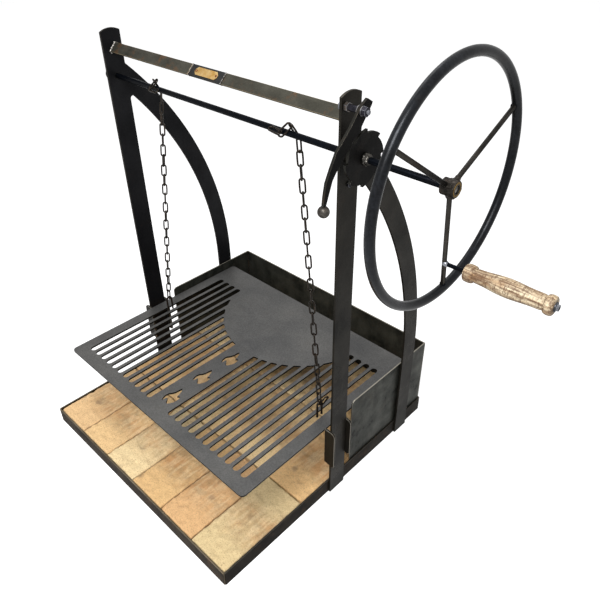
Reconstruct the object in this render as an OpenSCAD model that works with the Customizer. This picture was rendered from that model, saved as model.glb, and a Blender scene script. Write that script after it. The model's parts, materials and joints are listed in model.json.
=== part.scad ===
// Wood-fire grill: a brick-lined tray, a slotted grate that two chains raise, a shaft with a hand
// wheel, and a three-sided firebox. X runs to the right, Y to the rear and Z up, in millimetres.
// The origin is the centre of the tray's underside.

/* [Tray] */
// Width over the side rails
tray_w = 700; // [600:1:900]
// Depth over the front and rear rails
tray_d = 718; // [680:1:900]
// Height of the angle-iron rails
rail_h = 42; // [38:1:70]
// Thickness of the angle iron
rail_t = 4; // [3:0.5:6]
// Width of the angle iron's lower leg
rail_leg = 40; // [20:1:60]
// Thickness of the floor sheet
floor_t = 5; // [2:0.5:8]
// Width of each bearer under the floor sheet
bearer_w = 40; // [20:1:60]
// Number of bearers, an odd number so that one is central
bearer_n = 3; // [1:2:5]
// Thickness of the firebricks
brick_t = 32; // [20:1:40]
// Open joint between firebricks
brick_gap = 1.3; // [0.5:0.1:4]
// Number of firebricks across the tray
brick_cols = 6; // [4:1:8]

/* [Side frames] */
// Thickness of the side frame plate
side_t = 5; // [4:0.5:8]
// Width of the upright post
post_w = 50; // [44:1:60]
// Height of the post's top corners above the shaft's axis
post_rise = 98.6; // [92:0.1:130]
// Height of the crown between the post's top corners
post_crown = 6.5; // [3:0.5:12]
// Distance of the posts and the shaft behind the tray's centre
gear_y = -1.5; // [-10:0.5:10]
// Width of the rear leg
leg_w = 47; // [35:1:60]
// Distance of the rear leg's back edge behind the tray's centre
leg_back = 285.5; // [260:0.5:320]
// Distance below the shaft's axis at which the rear leg starts to curve
leg_bend_drop = 598; // [570:1:630]
// Outer radius of the rear leg's curve
leg_r = 870; // [840:1:920]
// Radius in the fork between post and leg
fork_r = 6; // [3:0.5:10]

/* [Crossbar] */
// Width of the flat crossbar
bar_w = 25; // [20:1:30]
// Thickness of the flat crossbar
bar_t = 5; // [4:0.5:8]
// Height of the middle of the crossbar's face above the shaft's axis
bar_rise = 65; // [57:1:72]
// Distance of the crossbar's face in front of the shaft
bar_shift = 0.6; // [0:0.1:3]
// Tilt of the crossbar's face from level
bar_tilt = 45; // [30:1:60]
// Length of the splice piece in the crossbar
splice_l = 100; // [90:1:140]
// Distance of the splice's middle to the right of the tray's centre
splice_x = -12; // [-60:1:60]
// Width of each weld seam in the crossbar
seam_w = 2.4; // [1:0.1:4]
// Length of the brass plate
badge_l = 75; // [50:1:85]
// Height of the brass plate
badge_h = 18; // [12:0.5:22]
// Thickness of the brass plate
badge_t = 1.2; // [0.8:0.1:2]
// Distance between the brass plate's rivets
rivet_pitch = 60; // [36:1:70]
// Diameter of the rivets' shanks
rivet_d = 3.2; // [2:0.1:4]

/* [Firebox] */
// Thickness of the firebox sheet
fire_t = 3; // [2:0.5:4]
// Distance of the side walls' front edges behind the tray's centre
fire_front = 55.6; // [50:0.1:120]
// Height of the firebox's top edge
fire_top = 239.3; // [200:0.1:300]
// Corner radius at the side walls' front top
fire_r = 11; // [4:0.5:20]
// Clearance between the firebox and the rails
fire_gap = 0.3; // [0.2:0.1:1]

/* [Grate] */
// Gap between the grate plate's sides and the posts
grate_side_gap = 11.5; // [8.5:0.5:30]
// Depth of the grate plate
grate_d = 566.6; // [500:0.1:580]
// Distance of the grate's middle behind the shaft
grate_shift = 1.8; // [-5:0.1:5]
// Thickness of the grate plate
grate_t = 5; // [4:0.5:8]
// Height of the grate's top face at rest
grate_top = 216; // [190:1:235]
// Corner radius of the grate plate
grate_r = 11; // [4:1:20]
// Width of the slots
slot_w = 16.5; // [10:0.1:18]
// Distance between the middles of neighbouring slots
slot_pitch = 25.5; // [22:0.1:30]
// Distance of the innermost slots from the grate's middle line
slot_first = 44; // [40:0.5:50]
// Border left outside the outermost slot, at least
slot_border = 24; // [15:1:40]
// Solid border at the front of the grate
slot_front = 34; // [25:1:60]
// Solid border behind the outer slots
slot_rear = 77; // [60:1:100]
// Number of outer slots on each side that end square to the bars
slot_outer_n = 4; // [2:1:5]
// Radius of the arc on which the inner slots end
fan_r = 224; // [190:1:230]
// Distance from the fan arc's centre to the grate's rear edge
fan_back = 34; // [20:1:60]
// Length of the flame cut-outs
flame_l = 59; // [30:1:64]
// Distance between the flame cut-outs
flame_pitch = 93; // [70:1:100]
// Distance of the first flame from the grate's front edge
flame_front = 80; // [60:1:90]

/* [Guide ears] */
// Thickness of the guide ears
ear_t = 5; // [4:0.5:8]
// Running gap between the guide ears and the posts
ear_gap = 1; // [0.5:0.1:2]
// How far the guide ears reach past the posts
ear_reach = 13; // [6:0.5:20]
// Length of the guide ears below the grate's top face
ear_drop = 114; // [60:1:120]
// Depth of the chamfer under the guide ears
ear_chamfer = 6; // [2:0.5:10]

/* [Lifting eyes and chains] */
// Diameter of the eyes' rod
eye_d = 5; // [4:0.1:5]
// Height of the eyes above the grate
eye_h = 46; // [30:1:60]
// Bend radius in the middle of the eyes' rod
eye_bend_r = 7.5; // [6:0.5:12]
// Distance of the left eye from the grate's left edge
eye_in_left = 45.5; // [28.5:0.5:53.5]
// Distance of the right eye from the grate's right edge
eye_in_right = 37.5; // [28.5:0.5:53.5]
// Distance of the left eye behind the shaft
eye_y_left = 5.5; // [-15:0.5:15]
// Distance of the right eye behind the shaft
eye_y_right = -7.5; // [-15:0.5:15]
// Lean of the left chain towards the middle, as a share of its height
lean_left_share = 0.15415; // [0.1:0.00005:0.2]
// Lean of the right chain towards the middle, as a share of its height
lean_right_share = 0.1293; // [0.1:0.00005:0.2]
// Wire diameter of the chain
wire_d = 3; // [2:0.1:3.2]
// Outer width of a chain link
link_w = 12; // [11.8:0.1:14]
// Inner length of a chain link, before the chain is fitted to its eyes
link_pitch = 26; // [22:0.5:30]
// Play between linked rings
link_slack = 0.3; // [0.2:0.05:0.5]

/* [Winding gear] */
// Diameter of the shaft
shaft_d = 12; // [10:0.5:16]
// Height of the shaft's axis
shaft_z = 868; // [850:1:880]
// Radial running clearance in bearings
run_gap = 0.05; // [0.02:0.01:0.08]
// Diameter of the bearing bosses
boss_d = 32; // [24:1:40]
// Length of the left bearing boss
boss_l_left = 18; // [10:1:30]
// Length of the right bearing boss
boss_l_right = 27; // [24:1:40]
// End play between the bosses and what turns beside them
end_gap = 0.5; // [0.3:0.1:1]
// Diameter of the shaft collar
collar_d = 26; // [20:1:30]
// Length of the shaft collar
collar_l = 7; // [5:0.5:12]
// Number of ratchet teeth
tooth_n = 8; // [6:1:16]
// Radius over the ratchet's teeth
tooth_r = 50; // [44:0.5:54]
// Depth of the ratchet's teeth
tooth_depth = 7; // [4:0.5:9]
// Angle of the first tooth above the rearward direction
tooth_phase = -3.5; // [-22:0.5:22]
// Thickness of the ratchet
ratchet_t = 5; // [4:0.5:8]
// Diameter over the ratchet's weld bead
bead_d = 25; // [20:1:30]

/* [Hand wheel] */
// Diameter over the rim
wheel_d = 400; // [300:1:460]
// Diameter of the rim's tube
rim_d = 16; // [12:0.5:22]
// Diameter of the spokes
spoke_d = 8; // [6:0.5:10]
// Distance of the wheel's middle plane from the right post's face
wheel_x = 194; // [150:1:240]
// Diameter of the hub
hub_d = 27; // [20:0.5:34]
// Length of the hub
hub_l = 24; // [20:0.1:40]
// Depth of the recess in the hub's end
hub_recess = 3; // [1:0.5:5]
// Angle of the crank spoke above the rearward direction
crank_angle = 276.5; // [270:0.5:285]
// Angle from the crank spoke to the second spoke
second_spoke_angle = 110.2; // [90:0.1:130]
// Angle from the second spoke to the third
third_spoke_angle = 119.4; // [90:0.1:130]
// Radius at which the crank pin stands
crank_r = 140.8; // [110:0.1:160]
// Diameter of the crank pin's outer sleeve
sleeve_d = 7; // [7:0.5:10]
// Distance of the sleeve's shoulder from the wheel's middle plane
sleeve_l = 36; // [20:1:50]
// Angle by which the crank pin rises outwards
pin_angle = 1.6; // [0:0.1:4]
// Diameter of the crank pin inside the grip
pin_d = 6; // [5:0.5:7]
// Bare neck between the sleeve and the grip
neck_l = 4; // [2:0.5:8]

/* [Grip] */
// Length of the wooden grip
grip_l = 147; // [110:1:170]
// Largest diameter of the grip's body
grip_d = 31; // [26:0.5:36]
// Diameter of the beads at the grip's ends
grip_bead_d = 32; // [26:0.5:36]
// Diameter of the grip beside its beads
grip_waist_d = 24.5; // [18:0.5:28]
// Length of each end bead
grip_bead_l = 17; // [15:0.5:25]
// Thickness of the washer at the grip's end
grip_washer_t = 1.5; // [1:0.1:3]
// Width across the flats of the grip's nut
grip_nut_w = 10; // [9:0.5:13]
// Height of the grip's nut
grip_nut_h = 4.2; // [3:0.1:6]

/* [Pawl] */
// Distance of the pawl's pivot in front of the shaft
pawl_y = 13.5; // [11:0.5:16]
// Height of the pawl's pivot above the shaft
pawl_z = 82.5; // [80:0.5:86]
// Diameter of the pivot bolt
bolt_d = 8; // [7:0.5:10]
// Width across the flats of the pivot bolt's nuts
nut_w = 14; // [12:0.5:18]
// Height of the inner nut and of the bolt's head
nut_h = 6.5; // [5:0.5:9]
// Height of the outer lock nut
lock_nut_h = 8; // [6:0.5:12]
// Thickness of the pivot's washers
washer_t = 1.6; // [1:0.1:2.5]
// Outer diameter of the pivot's washers
washer_d = 16; // [13:0.5:22]
// Outer diameter of the pivot's spacer tube
spacer_d = 11; // [9.5:0.5:17]
// Thickness of the pawl's lever
lever_t = 5; // [4:0.5:6]
// Side play of the lever between its washers
lever_play = 0.5; // [0.3:0.1:0.6]
// Clearance between the lever and the ratchet's tips
lever_gap = 0.6; // [0.4:0.1:2]
// Span of the lever from its pivot to the middle of its ball
lever_span = 166; // [150:1:190]
// Diameter of the counterweight ball
ball_d = 18; // [14:0.5:24]
// Diameter of the small bolt in the right post
post_bolt_d = 6; // [4:0.5:8]
// Distance of the small bolt below the shaft
post_bolt_drop = 54.5; // [50:0.5:80]

/* [Hidden] */
$fn = 48;
overrun = 1;
brick_rows = 3;
post_x = tray_w / 2;
inner_w = tray_w - 2 * rail_t;
inner_d = tray_d - 2 * rail_t;
grate_w = tray_w - 2 * grate_side_gap;
eye_x_left = grate_w / 2 - eye_in_left;
eye_x_right = grate_w / 2 - eye_in_right;
post_h = shaft_z + post_rise;
bar_z = shaft_z + bar_rise;
leg_bend_z = shaft_z - leg_bend_drop;
brick_z = rail_t + floor_t;
brick_top = brick_z + brick_t;
shaft_r = shaft_d / 2;
ratchet_x = post_x + side_t + boss_l_right + end_gap;
wheel_mid = post_x + side_t + wheel_x;
hub_end = wheel_mid + hub_l / 2;
grate_y = gear_y + grate_shift;
rim_r = (wheel_d - rim_d) / 2;
tooth_angle = 360 / tooth_n;
pivot_y = gear_y - pawl_y;
pivot_z = shaft_z + pawl_z;
bar_y = gear_y - bar_shift;

// Tray: mitred angle iron, bearers, floor sheet and three rows of bricks

module angle_rail(length) {
    intersection() {
        rotate([90, 0, 90])
            translate([0, 0, -length / 2])
                linear_extrude(length)
                    polygon([[0, 0], [rail_leg, 0], [rail_leg, rail_t], [rail_t, rail_t],
                             [rail_t, rail_h], [0, rail_h]]);
        linear_extrude(rail_h)
            polygon([[-length / 2, 0], [length / 2, 0],
                     [length / 2 - rail_leg, rail_leg], [rail_leg - length / 2, rail_leg]]);
    }
}

module rail(turn, length, reach) {
    color([0.33, 0.31, 0.28])
        rotate([0, 0, turn])
            translate([0, -reach / 2, 0])
                angle_rail(length);
}

module tray_bearers() {
    span = tray_d - 2 * rail_leg;
    step = inner_w / (bearer_n + 1);
    color([0.3, 0.28, 0.26])
        for (i = [0 : bearer_n - 1])
            translate([(i + 1) * step - inner_w / 2 - bearer_w / 2, -span / 2, 0])
                cube([bearer_w, span, rail_t]);
}

module tray_floor() {
    color([0.35, 0.33, 0.3])
        translate([-inner_w / 2, -inner_d / 2, rail_t])
            cube([inner_w, inner_d, floor_t]);
}

module brick_row(row) {
    step_x = inner_w / brick_cols;
    step_y = inner_d / brick_rows;
    color([0.85, 0.76, 0.62])
        for (i = [0 : brick_cols - 1])
            translate([i * step_x - inner_w / 2 + brick_gap / 2,
                       row * step_y - inner_d / 2 + brick_gap / 2, brick_z])
                cube([step_x - brick_gap, step_y - brick_gap, brick_t]);
}

// Side frames: one plate each, with a crowned post and a swept leg

module side_outline() {
    half = post_w / 2;
    back = gear_y + half;
    crown_r = (half * half + post_crown * post_crown) / (2 * post_crown);
    arc_y = leg_back - leg_r;
    inner_r = leg_r - leg_w;
    reach = leg_r + overrun;
    fork_y = back + fork_r;
    fork_z = leg_bend_z + sqrt(pow(inner_r - fork_r, 2) - pow(fork_y - arc_y, 2));
    crotch_z = leg_bend_z + sqrt(pow(inner_r, 2) - pow(back - arc_y, 2));
    touch = inner_r / (inner_r - fork_r);
    translate([gear_y - half, 0])
        square([post_w, post_h]);
    intersection() {
        translate([gear_y, post_h + post_crown - crown_r])
            circle(crown_r, $fn = 180);
        translate([gear_y - half, post_h - post_crown])
            square([post_w, 2 * post_crown]);
    }
    translate([leg_back - leg_w, 0])
        square([leg_w, leg_bend_z]);
    intersection() {
        difference() {
            translate([arc_y, leg_bend_z])
                circle(leg_r, $fn = 360);
            translate([arc_y, leg_bend_z])
                circle(inner_r, $fn = 360);
        }
        translate([gear_y, leg_bend_z])
            square([reach, reach]);
    }
    difference() {
        polygon([[back, crotch_z + fork_r], [back, fork_z], [fork_y, fork_z],
                 [arc_y + (fork_y - arc_y) * touch, leg_bend_z + (fork_z - leg_bend_z) * touch],
                 [back + fork_r / 2, crotch_z]]);
        translate([fork_y, fork_z])
            circle(fork_r);
    }
}

module side_plate(x) {
    translate([x, 0, 0])
        rotate([90, 0, 90])
            linear_extrude(side_t)
                side_outline();
}

module shaft_hole(x) {
    translate([x - overrun, gear_y, shaft_z])
        rotate([0, 90, 0])
            cylinder(h = side_t + 2 * overrun, r = shaft_r + run_gap);
}

module side_frame_left() {
    color([0.36, 0.33, 0.3])
        difference() {
            side_plate(-post_x - side_t);
            shaft_hole(-post_x - side_t);
        }
}

module side_frame_right() {
    color([0.36, 0.33, 0.3])
        difference() {
            side_plate(post_x);
            shaft_hole(post_x);
            translate([post_x - overrun, pivot_y, pivot_z])
                rotate([0, 90, 0])
                    cylinder(h = side_t + 2 * overrun, d = bolt_d + 2 * run_gap);
            translate([post_x - overrun, gear_y, shaft_z - post_bolt_drop])
                rotate([0, 90, 0])
                    cylinder(h = side_t + 2 * overrun, d = post_bolt_d + 2 * run_gap);
        }
}

// Crossbar: flat bar in two halves with a splice piece, seams, end welds and a brass plate

module on_bar(x) {
    translate([x, bar_y, bar_z])
        rotate([bar_tilt, 0, 0])
            children();
}

module bar_piece(x0, x1) {
    on_bar(x0)
        translate([0, -bar_w / 2, -bar_t])
            cube([x1 - x0, bar_w, bar_t]);
}

splice_x0 = splice_x - splice_l / 2;
splice_x1 = splice_x + splice_l / 2;
seam_proud = 0.5;

module crossbar_left() {
    color([0.42, 0.4, 0.36])
        bar_piece(-post_x, splice_x0 - seam_w);
}

module crossbar_right() {
    color([0.42, 0.4, 0.36])
        bar_piece(splice_x1 + seam_w, post_x);
}

module rivet_places() {
    for (side = [-1, 1])
        translate([side * rivet_pitch / 2, 0, 0])
            children();
}

module crossbar_splice() {
    color([0.3, 0.28, 0.25])
        difference() {
            bar_piece(splice_x0, splice_x1);
            on_bar(splice_x)
                rivet_places()
                    translate([0, 0, -bar_t - overrun])
                        cylinder(h = bar_t + 2 * overrun, d = rivet_d + 2 * run_gap);
        }
}

module crossbar_seams() {
    color([0.75, 0.74, 0.72])
        for (x = [splice_x0 - seam_w, splice_x1])
            on_bar(x)
                translate([0, -bar_w / 2, -bar_t])
                    cube([seam_w, bar_w, bar_t + seam_proud]);
}

weld_r = 4;

// A fillet bead along the bar's upper face where it meets a post
module crossbar_end_welds() {
    color([0.6, 0.58, 0.56])
        for (side = [-1, 1])
            on_bar(side * post_x)
                intersection() {
                    rotate([90, 0, 0])
                        cylinder(h = bar_w, r = weld_r, center = true);
                    translate([side > 0 ? -weld_r : 0, -bar_w / 2, 0])
                        cube([weld_r, bar_w, weld_r]);
                }
}

module badge_plate() {
    nip = badge_h / 3;
    color([0.85, 0.7, 0.42])
        on_bar(splice_x)
            difference() {
                linear_extrude(badge_t)
                    polygon([[-badge_l / 2, -nip / 2], [nip - badge_l / 2, -badge_h / 2],
                             [badge_l / 2 - nip, -badge_h / 2], [badge_l / 2, -nip / 2],
                             [badge_l / 2, nip / 2], [badge_l / 2 - nip, badge_h / 2],
                             [nip - badge_l / 2, badge_h / 2], [-badge_l / 2, nip / 2]]);
                rivet_places()
                    translate([0, 0, -overrun])
                        cylinder(h = badge_t + 2 * overrun, d = rivet_d + 2 * run_gap);
            }
}

module badge_rivets() {
    head_r = rivet_d * 0.85;
    color([0.6, 0.48, 0.3])
        on_bar(splice_x)
            rivet_places() {
                translate([0, 0, -bar_t])
                    cylinder(h = bar_t + badge_t, d = rivet_d);
                translate([0, 0, badge_t])
                    intersection() {
                        translate([0, 0, -head_r / 2])
                            sphere(head_r * 1.12);
                        cylinder(h = head_r, r = head_r);
                    }
            }
}

// Firebox: three sheets that stand on the bricks inside the rails

fire_x = inner_w / 2 - fire_gap;
fire_back = inner_d / 2 - fire_gap;

module fire_side(side) {
    depth = fire_back - fire_t - fire_front;
    height = fire_top - brick_top;
    color([0.34, 0.32, 0.3])
        translate([side > 0 ? fire_x - fire_t : -fire_x, fire_front, brick_top])
            rotate([90, 0, 90])
                linear_extrude(fire_t)
                    difference() {
                        square([depth, height]);
                        translate([-overrun, height - fire_r])
                            square([fire_r + overrun, fire_r + overrun]);
                    }
    color([0.34, 0.32, 0.3])
        translate([side > 0 ? fire_x - fire_t : -fire_x, fire_front + fire_r, fire_top - fire_r])
            rotate([90, 0, 90])
                linear_extrude(fire_t)
                    intersection() {
                        circle(fire_r);
                        translate([-fire_r, 0])
                            square([fire_r, fire_r]);
                    }
}

module firebox_rear_wall() {
    color([0.34, 0.32, 0.3])
        translate([-fire_x, fire_back - fire_t, brick_top])
            cube([2 * fire_x, fire_t, fire_top - brick_top]);
}

module firebox_corner_welds() {
    bead_r = 3;
    color([0.5, 0.49, 0.47])
        for (side = [-1, 1])
            translate([side * (fire_x - fire_t), fire_back - fire_t, brick_top])
                intersection() {
                    cylinder(h = fire_top - brick_top, r = bead_r);
                    translate([side > 0 ? -bead_r : 0, -bead_r, 0])
                        cube([bead_r, bead_r, fire_top - brick_top]);
                }
}

// Bearings of the shaft, the pawl's pivot and the small bolt

module tube_x(x, length, outer_r, bore_r) {
    translate([x, 0, 0])
        rotate([0, 90, 0])
            difference() {
                cylinder(h = length, r = outer_r);
                translate([0, 0, -overrun])
                    cylinder(h = length + 2 * overrun, r = bore_r);
            }
}

module hex_x(x, height, across, bore_r) {
    translate([x, 0, 0])
        rotate([0, 90, 0])
            difference() {
                cylinder(h = height, r = across / 2 / cos(30), $fn = 6);
                translate([0, 0, -overrun])
                    cylinder(h = height + 2 * overrun, r = bore_r);
            }
}

module at_shaft() {
    translate([0, gear_y, shaft_z])
        children();
}

module at_pivot() {
    translate([0, pivot_y, pivot_z])
        children();
}

module shaft_boss_left() {
    color([0.32, 0.3, 0.28])
        at_shaft()
            tube_x(-post_x - side_t - boss_l_left, boss_l_left, boss_d / 2, shaft_r + run_gap);
}

module shaft_boss_right() {
    color([0.32, 0.3, 0.28])
        at_shaft()
            tube_x(post_x + side_t, boss_l_right, boss_d / 2, shaft_r + run_gap);
}

post_face = post_x + side_t;
lever_x = ratchet_x + (ratchet_t - lever_t) / 2;
washer_in_x = lever_x - lever_play - washer_t;
washer_out_x = lever_x + lever_t + lever_play;
lock_nut_x = washer_out_x + washer_t;
bolt_tip = 3.5;

module pawl_bolt() {
    head_x = post_x - nut_h;
    color([0.45, 0.44, 0.42])
        at_pivot() {
            translate([head_x, 0, 0])
                rotate([0, 90, 0])
                    cylinder(h = nut_h, r = nut_w / 2 / cos(30), $fn = 6);
            translate([post_x, 0, 0])
                rotate([0, 90, 0])
                    cylinder(h = lock_nut_x + lock_nut_h + bolt_tip - post_x, d = bolt_d);
        }
}

module pawl_inner_nut() {
    color([0.5, 0.48, 0.45])
        at_pivot()
            hex_x(post_face, nut_h, nut_w, bolt_d / 2 + run_gap);
}

module pawl_spacer() {
    color([0.25, 0.24, 0.23])
        at_pivot()
            tube_x(post_face + nut_h, washer_in_x - post_face - nut_h, spacer_d / 2,
                   bolt_d / 2 + run_gap);
}

module pawl_washers() {
    color([0.7, 0.7, 0.68])
        at_pivot()
            for (x = [washer_in_x, washer_out_x])
                tube_x(x, washer_t, washer_d / 2, bolt_d / 2 + run_gap);
}

module pawl_lock_nut() {
    color([0.5, 0.5, 0.48])
        at_pivot()
            hex_x(lock_nut_x, lock_nut_h, nut_w, bolt_d / 2 + run_gap);
}

post_bolt_head = post_bolt_d * 0.65;

module at_post_bolt() {
    translate([0, gear_y, shaft_z - post_bolt_drop])
        children();
}

module post_bolt() {
    color([0.6, 0.6, 0.58])
        at_post_bolt() {
            translate([post_face, 0, 0])
                rotate([0, 90, 0])
                    cylinder(h = post_bolt_head, r = post_bolt_d * 0.96, $fn = 6);
            translate([post_x - 1.5 * post_bolt_d, 0, 0])
                rotate([0, 90, 0])
                    cylinder(h = side_t + 1.5 * post_bolt_d, d = post_bolt_d);
        }
}

module post_bolt_nut() {
    nut_l = post_bolt_d * 0.8;
    color([0.6, 0.6, 0.58])
        at_post_bolt()
            hex_x(post_x - nut_l, nut_l, post_bolt_d * 1.66, post_bolt_d / 2 + run_gap);
}

// Winding gear: shaft, collar, ratchet, hand wheel and crank

shaft_left = -post_x - side_t - boss_l_left - end_gap - collar_l;

module winding_shaft() {
    color([0.33, 0.34, 0.36])
        at_shaft()
            translate([shaft_left, 0, 0])
                rotate([0, 90, 0])
                    cylinder(h = hub_end - hub_recess - shaft_left, r = shaft_r);
}

module shaft_collar() {
    color([0.34, 0.32, 0.3])
        at_shaft()
            tube_x(shaft_left, collar_l, collar_d / 2, shaft_r + run_gap);
}

// A tooth's back grows from the root to the tip as the angle falls, then drops radially
module ratchet_outline() {
    back_steps = 8;
    polygon([for (k = [0 : tooth_n - 1]) for (s = [0 : back_steps])
        let (a = tooth_phase - (k + s / back_steps) * tooth_angle,
             r = tooth_r - tooth_depth * (1 - s / back_steps))
        [r * cos(a), r * sin(a)]]);
}

module ratchet_wheel() {
    color([0.4, 0.4, 0.4])
        at_shaft()
            translate([ratchet_x, 0, 0])
                rotate([90, 0, 90])
                    difference() {
                        linear_extrude(ratchet_t)
                            ratchet_outline();
                        translate([0, 0, -overrun])
                            cylinder(h = ratchet_t + 2 * overrun, r = shaft_r + run_gap);
                    }
}

module ratchet_weld() {
    bead_w = bead_d / 2 - shaft_r - run_gap;
    color([0.5, 0.48, 0.46])
        at_shaft()
            translate([ratchet_x + ratchet_t, 0, 0])
                rotate([0, 90, 0])
                    rotate_extrude()
                        translate([shaft_r + run_gap, 0])
                            intersection() {
                                circle(bead_w);
                                square([bead_w, bead_w]);
                            }
}

module wheel_hub() {
    color([0.42, 0.33, 0.26])
        at_shaft()
            translate([hub_end - hub_l, 0, 0])
                rotate([0, 90, 0])
                    difference() {
                        cylinder(h = hub_l, d = hub_d);
                        translate([0, 0, -overrun])
                            cylinder(h = hub_l + 2 * overrun, r = shaft_r + run_gap);
                    }
}

spoke_angles = [crank_angle, crank_angle + second_spoke_angle,
                crank_angle + second_spoke_angle + third_spoke_angle];

module rim_ring(grow) {
    rotate([0, 90, 0])
        rotate_extrude($fn = 144)
            translate([rim_r, 0])
                circle(rim_d / 2 + grow);
}

module wheel_spokes() {
    color([0.36, 0.37, 0.39])
        at_shaft()
            translate([wheel_mid, 0, 0])
                difference() {
                    for (a = spoke_angles)
                        rotate([a, 0, 0])
                            rotate([-90, 0, 0])
                                translate([0, 0, shaft_r])
                                    cylinder(h = rim_r - shaft_r, d = spoke_d);
                    translate([-hub_l, 0, 0])
                        rotate([0, 90, 0])
                            cylinder(h = 2 * hub_l, r = hub_d / 2 + run_gap);
                    rim_ring(run_gap);
                }
}

module wheel_rim() {
    color([0.45, 0.47, 0.5])
        at_shaft()
            translate([wheel_mid, 0, 0])
                rim_ring(0);
}

crank_y = gear_y + crank_r * cos(crank_angle);
crank_z = shaft_z + crank_r * sin(crank_angle);
sleeve_end = wheel_mid + sleeve_l;
grip_x = sleeve_end + neck_l;
grip_end = grip_x + grip_l;
pin_gap = 0.3;
washer_x = grip_end + pin_gap;
pin_end = washer_x + grip_washer_t + grip_nut_h;

module at_crank() {
    translate([wheel_mid, crank_y, crank_z])
        rotate([0, -pin_angle, 0])
            translate([-wheel_mid, 0, 0])
                children();
}

module crank_pin() {
    color([0.45, 0.43, 0.4])
        difference() {
            at_crank() {
                translate([wheel_mid, 0, 0])
                    rotate([0, 90, 0])
                        cylinder(h = sleeve_l, d = sleeve_d);
                translate([sleeve_end, 0, 0])
                    rotate([0, 90, 0])
                        cylinder(h = pin_end - sleeve_end, d = pin_d);
            }
            at_shaft()
                translate([wheel_mid, 0, 0])
                    rotate([crank_angle - 90, 0, 0])
                        translate([0, 0, hub_d / 2])
                            cylinder(h = rim_r - hub_d / 2, r = spoke_d / 2 + run_gap);
        }
}

module grip_washer() {
    color([0.6, 0.6, 0.58])
        at_crank()
            tube_x(washer_x, grip_washer_t, grip_nut_w * 0.8, pin_d / 2 + run_gap);
}

module grip_nut() {
    color([0.55, 0.54, 0.52])
        at_crank()
            hex_x(washer_x + grip_washer_t, grip_nut_h, grip_nut_w, pin_d / 2 + run_gap);
}

// Turned profile from the near bead to the far bead: sine waves between the named diameters
function bump(u, low, high) = low + (high - low) * sin(180 * u);
function grip_radius(x) =
    x < grip_bead_l ? bump(0.12 + 0.8 * x / grip_bead_l, grip_waist_d, grip_bead_d) / 2 :
    x > grip_l - grip_bead_l ?
        bump(0.12 + 0.8 * (grip_l - x) / grip_bead_l, grip_waist_d, grip_bead_d) / 2 :
    bump((x - grip_bead_l) / (grip_l - 2 * grip_bead_l), grip_waist_d, grip_d) / 2;

module grip() {
    profile_steps = 49;
    color([0.78, 0.6, 0.42])
        at_crank()
            translate([grip_x, 0, 0])
                rotate([0, 90, 0])
                    rotate_extrude()
                        polygon(concat(
                            [[pin_d / 2 + run_gap, 0]],
                            [for (i = [0 : profile_steps])
                                [grip_radius(i * grip_l / profile_steps),
                                 i * grip_l / profile_steps]],
                            [[pin_d / 2 + run_gap, grip_l]]));
}

// Chains: each link is a ring of two half rings and two straight wires, its long axis along Z

link_mid = (link_w - wire_d) / 2;

module link_bend() {
    rotate([90, 0, 0])
        rotate_extrude(angle = 180, $fn = 24)
            translate([link_mid, 0])
                circle(wire_d / 2, $fn = 16);
}

module half_link(straight) {
    translate([0, 0, straight / 2])
        link_bend();
    for (side = [-1, 1])
        translate([side * link_mid, 0, 0])
            cylinder(h = straight / 2, d = wire_d, $fn = 16);
}

module link(pitch) {
    straight = pitch + link_slack + wire_d - 2 * link_mid;
    half_link(straight);
    mirror([0, 0, 1])
        half_link(straight);
}

// Unit vector at a bearing from +X towards +Y and a rise above level
function heading(bearing, rise) =
    [cos(rise) * cos(bearing), cos(rise) * sin(bearing), sin(rise)];

// A link whose long axis has the given bearing and rise, rolled about that axis
module placed_link(middle, bearing, rise, roll, pitch) {
    translate(middle)
        rotate([0, 90 - rise, bearing])
            rotate([0, 0, roll])
                link(pitch);
}

// Each chain hangs from its last wound link, beside the shaft, down to its lifting eye
hang_y = 13.5;
hang_drop = 8;
top_z = shaft_z - hang_drop;
eye_rod_z = grate_top + eye_h - eye_d / 2;
hook_z = eye_rod_z - eye_d / 2 - link_slack;
chain_h = top_z - hook_z;
top_left = [lean_left_share * chain_h - eye_x_left, gear_y + hang_y, top_z];
top_right = [eye_x_right - lean_right_share * chain_h, gear_y + hang_y, top_z];
foot_left = [-eye_x_left, gear_y + eye_y_left, hook_z];
foot_right = [eye_x_right, gear_y + eye_y_right, hook_z];

// An odd number of links, so that the first and the last lie the same way
module hanging_chain(top, foot) {
    run = foot - top;
    count = 2 * round((norm(run) / link_pitch - 1) / 2) + 1;
    pitch = norm(run) / count;
    bearing = atan2(-run[1], -run[0]);
    rise = atan2(-run[2], norm([run[0], run[1]]));
    first_roll = -bearing;
    color([0.3, 0.27, 0.25])
        for (i = [0 : count - 1])
            placed_link(top + run * (i + 0.5) / count, bearing, rise,
                        first_roll + 90 * (i % 2), pitch);
}

// Wound links, from the hanging joint upward: bearing, rise and roll of each
wound_right = [[194, 56, 66], [209, 12, -31], [209, -26, 31]];
wound_left = [[344, 58, -57], [333, 15, 35], [334, -26, -33]];
// How much closer the wound links lie, because they are slack
wound_slip = 2;

function wound_joint(top, turns, i) =
    i == 0 ? top : wound_joint(top, turns, i - 1)
        + (link_pitch - wound_slip) * heading(turns[i - 1][0], turns[i - 1][1]);

module wound_chain(top, turns) {
    color([0.3, 0.27, 0.25])
        for (i = [0 : len(turns) - 1])
            placed_link((wound_joint(top, turns, i) + wound_joint(top, turns, i + 1)) / 2,
                        turns[i][0], turns[i][1], turns[i][2], link_pitch);
}

// Pawl: a curved lever whose nose lies on the ratchet's tip circle, with a ball for weight

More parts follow.
